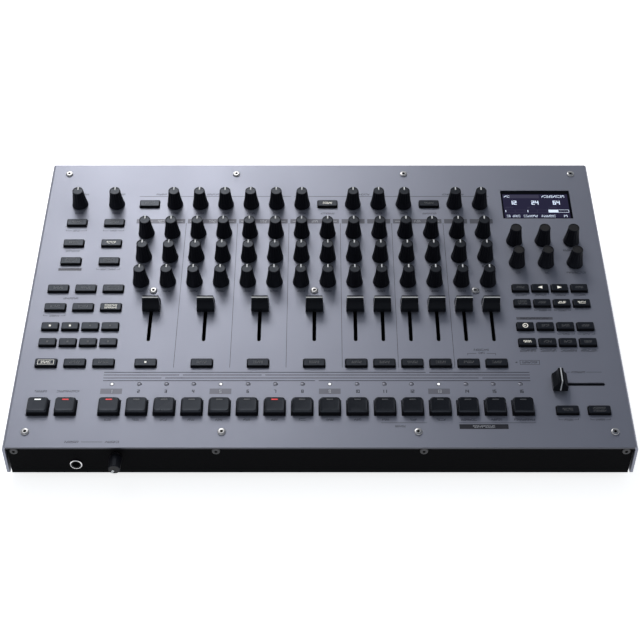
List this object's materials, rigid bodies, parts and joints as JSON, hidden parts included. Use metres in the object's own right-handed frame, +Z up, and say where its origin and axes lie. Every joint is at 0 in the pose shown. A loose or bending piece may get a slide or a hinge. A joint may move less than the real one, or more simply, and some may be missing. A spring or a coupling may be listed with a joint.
{
  "type": "drum machine",
  "caption": "Desktop drum machine: sloping sheet metal panel with knob rows, channel faders, buttons, a display and a row of step keys; sockets on the rear wall.",
  "frame": {"origin": "on the ground, under the middle of the whole object's box", "axes": "+X to the right along the front edge, +Y to the rear, +Z up"},
  "size_m": [0.488, 0.3224, 0.0933],
  "materials": {
    "cover_grey": "satin light grey metallic paint",
    "chassis_black": "fine textured black paint",
    "foot_rubber": "matte",
    "screw_steel": "bright nickel",
    "board_green": "solder mask",
    "cable_grey": "ribbed",
    "pot_steel": "plated",
    "inner_black": "matte",
    "light_lens": "clear lens",
    "window_acrylic": "polished, smoked",
    "socket_black": "moulded",
    "knob_black": "soft touch, fluted",
    "fader_black": "satin",
    "key_charcoal": "satin",
    "button_charcoal": "satin"
  },
  "bodies": {
    "root": {"top_panel": "cover_grey", "left_side_wall": "cover_grey", "right_side_wall": "cover_grey", "front_wall": "chassis_black", "rear_wall": "chassis_black", "bottom_cover": "chassis_black", "rubber_feet": "foot_rubber", "case_screws": "screw_steel", "board_pillars": "screw_steel", "control_board": "board_green", "main_board": "board_green", "ribbon_cable": "cable_grey", "rotary_pots": "pot_steel", "slide_pots": "inner_black", "key_switches": "inner_black", "step_lights": "light_lens", "display_window": "window_acrylic", "display_module": "inner_black", "output_jacks": "socket_black", "rear_sockets": "socket_black", "phones_jack": "socket_black", "channel_knobs": "knob_black"},
    "top_knob_1": {"top_knob_1": "knob_black"},
    "top_knob_2": {"top_knob_2": "knob_black"},
    "top_knob_3": {"top_knob_3": "knob_black"},
    "top_knob_4": {"top_knob_4": "knob_black"},
    "top_knob_5": {"top_knob_5": "knob_black"},
    "top_knob_6": {"top_knob_6": "knob_black"},
    "top_knob_7": {"top_knob_7": "knob_black"},
    "top_knob_8": {"top_knob_8": "knob_black"},
    "top_knob_9": {"top_knob_9": "knob_black"},
    "top_knob_10": {"top_knob_10": "knob_black"},
    "top_knob_11": {"top_knob_11": "knob_black"},
    "top_knob_12": {"top_knob_12": "knob_black"},
    "top_knob_13": {"top_knob_13": "knob_black"},
    "encoder_1": {"encoder_1": "knob_black"},
    "encoder_2": {"encoder_2": "knob_black"},
    "encoder_3": {"encoder_3": "knob_black"},
    "encoder_4": {"encoder_4": "knob_black"},
    "encoder_5": {"encoder_5": "knob_black"},
    "encoder_6": {"encoder_6": "knob_black"},
    "volume_knob": {"volume_knob": "knob_black"},
    "power_rocker": {"power_rocker": "socket_black"},
    "fader_1": {"fader_1": "fader_black"},
    "fader_2": {"fader_2": "fader_black"},
    "fader_3": {"fader_3": "fader_black"},
    "fader_4": {"fader_4": "fader_black"},
    "fader_5": {"fader_5": "fader_black"},
    "fader_6": {"fader_6": "fader_black"},
    "fader_7": {"fader_7": "fader_black"},
    "fader_8": {"fader_8": "fader_black"},
    "fader_9": {"fader_9": "fader_black"},
    "fader_10": {"fader_10": "fader_black"},
    "cross_fader": {"cross_fader": "fader_black"},
    "start_key": {"start_key": "key_charcoal"},
    "stop_key": {"stop_key": "key_charcoal"},
    "step_keys": {"step_keys": "key_charcoal"},
    "left_buttons": {"left_buttons": "button_charcoal"},
    "centre_buttons": {"centre_buttons": "button_charcoal"},
    "right_buttons": {"right_buttons": "button_charcoal"}
  },
  "joints": [
    {"name": "top_knob_1_turn", "type": "hinge", "parent": "root", "child": "top_knob_1", "pos_m": [-0.21365, 0.10973, 0.07526], "axis": [0, -0.1392, 0.9903], "range_deg": [-150, 150]},
    {"name": "top_knob_2_turn", "type": "hinge", "parent": "root", "child": "top_knob_2", "pos_m": [-0.18095, 0.10973, 0.07526], "axis": [0, -0.1392, 0.9903], "range_deg": [-150, 150]},
    {"name": "top_knob_3_turn", "type": "hinge", "parent": "root", "child": "top_knob_3", "pos_m": [-0.129, 0.10973, 0.07526], "axis": [0, -0.1392, 0.9903], "range_deg": [-150, 150]},
    {"name": "top_knob_4_turn", "type": "hinge", "parent": "root", "child": "top_knob_4", "pos_m": [-0.1064, 0.10973, 0.07526], "axis": [0, -0.1392, 0.9903], "range_deg": [-150, 150]},
    {"name": "top_knob_5_turn", "type": "hinge", "parent": "root", "child": "top_knob_5", "pos_m": [-0.0838, 0.10973, 0.07526], "axis": [0, -0.1392, 0.9903], "range_deg": [-150, 150]},
    {"name": "top_knob_6_turn", "type": "hinge", "parent": "root", "child": "top_knob_6", "pos_m": [-0.0612, 0.10973, 0.07526], "axis": [0, -0.1392, 0.9903], "range_deg": [-150, 150]},
    {"name": "top_knob_7_turn", "type": "hinge", "parent": "root", "child": "top_knob_7", "pos_m": [-0.0386, 0.10973, 0.07526], "axis": [0, -0.1392, 0.9903], "range_deg": [-150, 150]},
    {"name": "top_knob_8_turn", "type": "hinge", "parent": "root", "child": "top_knob_8", "pos_m": [-0.016, 0.10973, 0.07526], "axis": [0, -0.1392, 0.9903], "range_deg": [-150, 150]},
    {"name": "top_knob_9_turn", "type": "hinge", "parent": "root", "child": "top_knob_9", "pos_m": [0.0292, 0.10973, 0.07526], "axis": [0, -0.1392, 0.9903], "range_deg": [-150, 150]},
    {"name": "top_knob_10_turn", "type": "hinge", "parent": "root", "child": "top_knob_10", "pos_m": [0.0518, 0.10973, 0.07526], "axis": [0, -0.1392, 0.9903], "range_deg": [-150, 150]},
    {"name": "top_knob_11_turn", "type": "hinge", "parent": "root", "child": "top_knob_11", "pos_m": [0.0744, 0.10973, 0.07526], "axis": [0, -0.1392, 0.9903], "range_deg": [-150, 150]},
    {"name": "top_knob_12_turn", "type": "hinge", "parent": "root", "child": "top_knob_12", "pos_m": [0.1196, 0.10973, 0.07526], "axis": [0, -0.1392, 0.9903], "range_deg": [-150, 150]},
    {"name": "top_knob_13_turn", "type": "hinge", "parent": "root", "child": "top_knob_13", "pos_m": [0.1422, 0.10973, 0.07526], "axis": [0, -0.1392, 0.9903], "range_deg": [-150, 150]},
    {"name": "encoder_1_turn", "type": "hinge", "parent": "root", "child": "encoder_1", "pos_m": [0.1688, 0.03996, 0.06545], "axis": [0, -0.1392, 0.9903], "continuous": true},
    {"name": "encoder_2_turn", "type": "hinge", "parent": "root", "child": "encoder_2", "pos_m": [0.1936, 0.03996, 0.06545], "axis": [0, -0.1392, 0.9903], "continuous": true},
    {"name": "encoder_3_turn", "type": "hinge", "parent": "root", "child": "encoder_3", "pos_m": [0.2184, 0.03996, 0.06545], "axis": [0, -0.1392, 0.9903], "continuous": true},
    {"name": "encoder_4_turn", "type": "hinge", "parent": "root", "child": "encoder_4", "pos_m": [0.1688, 0.06536, 0.06902], "axis": [0, -0.1392, 0.9903], "continuous": true},
    {"name": "encoder_5_turn", "type": "hinge", "parent": "root", "child": "encoder_5", "pos_m": [0.1936, 0.06536, 0.06902], "axis": [0, -0.1392, 0.9903], "continuous": true},
    {"name": "encoder_6_turn", "type": "hinge", "parent": "root", "child": "encoder_6", "pos_m": [0.2184, 0.06536, 0.06902], "axis": [0, -0.1392, 0.9903], "continuous": true},
    {"name": "volume_turn", "type": "hinge", "parent": "root", "child": "volume_knob", "pos_m": [-0.1573, -0.15399, 0.0282], "axis": [0, 1, 0], "range_deg": [0, 300]},
    {"name": "power_rock", "type": "hinge", "parent": "root", "child": "power_rocker", "pos_m": [0.216, 0.15664, 0.037], "axis": [1, 0, 0], "range_deg": [0, 16]},
    {"name": "fader_1_slide", "type": "slide", "parent": "root", "child": "fader_1", "axis": [0, 0.9903, 0.1392], "range_m": [-0.034, 0]},
    {"name": "fader_2_slide", "type": "slide", "parent": "root", "child": "fader_2", "axis": [0, 0.9903, 0.1392], "range_m": [-0.034, 0]},
    {"name": "fader_3_slide", "type": "slide", "parent": "root", "child": "fader_3", "axis": [0, 0.9903, 0.1392], "range_m": [-0.034, 0]},
    {"name": "fader_4_slide", "type": "slide", "parent": "root", "child": "fader_4", "axis": [0, 0.9903, 0.1392], "range_m": [-0.034, 0]},
    {"name": "fader_5_slide", "type": "slide", "parent": "root", "child": "fader_5", "axis": [0, 0.9903, 0.1392], "range_m": [-0.034, 0]},
    {"name": "fader_6_slide", "type": "slide", "parent": "root", "child": "fader_6", "axis": [0, 0.9903, 0.1392], "range_m": [-0.034, 0]},
    {"name": "fader_7_slide", "type": "slide", "parent": "root", "child": "fader_7", "axis": [0, 0.9903, 0.1392], "range_m": [-0.034, 0]},
    {"name": "fader_8_slide", "type": "slide", "parent": "root", "child": "fader_8", "axis": [0, 0.9903, 0.1392], "range_m": [-0.034, 0]},
    {"name": "fader_9_slide", "type": "slide", "parent": "root", "child": "fader_9", "axis": [0, 0.9903, 0.1392], "range_m": [-0.034, 0]},
    {"name": "fader_10_slide", "type": "slide", "parent": "root", "child": "fader_10", "axis": [0, 0.9903, 0.1392], "range_m": [-0.034, 0]},
    {"name": "cross_fader_slide", "type": "slide", "parent": "root", "child": "cross_fader", "axis": [1, 0, 0], "range_m": [0, 0.034]},
    {"name": "start_key_press", "type": "slide", "parent": "root", "child": "start_key", "axis": [0, 0.1392, -0.9903], "range_m": [0, 0.0018], "stiffness_N_per_m": 200, "springref_m": -0.002},
    {"name": "stop_key_press", "type": "slide", "parent": "root", "child": "stop_key", "axis": [0, 0.1392, -0.9903], "range_m": [0, 0.0018], "stiffness_N_per_m": 200, "springref_m": -0.002},
    {"name": "step_keys_press", "type": "slide", "parent": "root", "child": "step_keys", "axis": [0, 0.1392, -0.9903], "range_m": [0, 0.0018], "stiffness_N_per_m": 400, "springref_m": -0.002},
    {"name": "left_buttons_press", "type": "slide", "parent": "root", "child": "left_buttons", "axis": [0, 0.1392, -0.9903], "range_m": [0, 0.001], "stiffness_N_per_m": 400, "springref_m": -0.002},
    {"name": "centre_buttons_press", "type": "slide", "parent": "root", "child": "centre_buttons", "axis": [0, 0.1392, -0.9903], "range_m": [0, 0.001], "stiffness_N_per_m": 400, "springref_m": -0.002},
    {"name": "right_buttons_press", "type": "slide", "parent": "root", "child": "right_buttons", "axis": [0, 0.1392, -0.9903], "range_m": [0, 0.001], "stiffness_N_per_m": 400, "springref_m": -0.002}
  ]
}
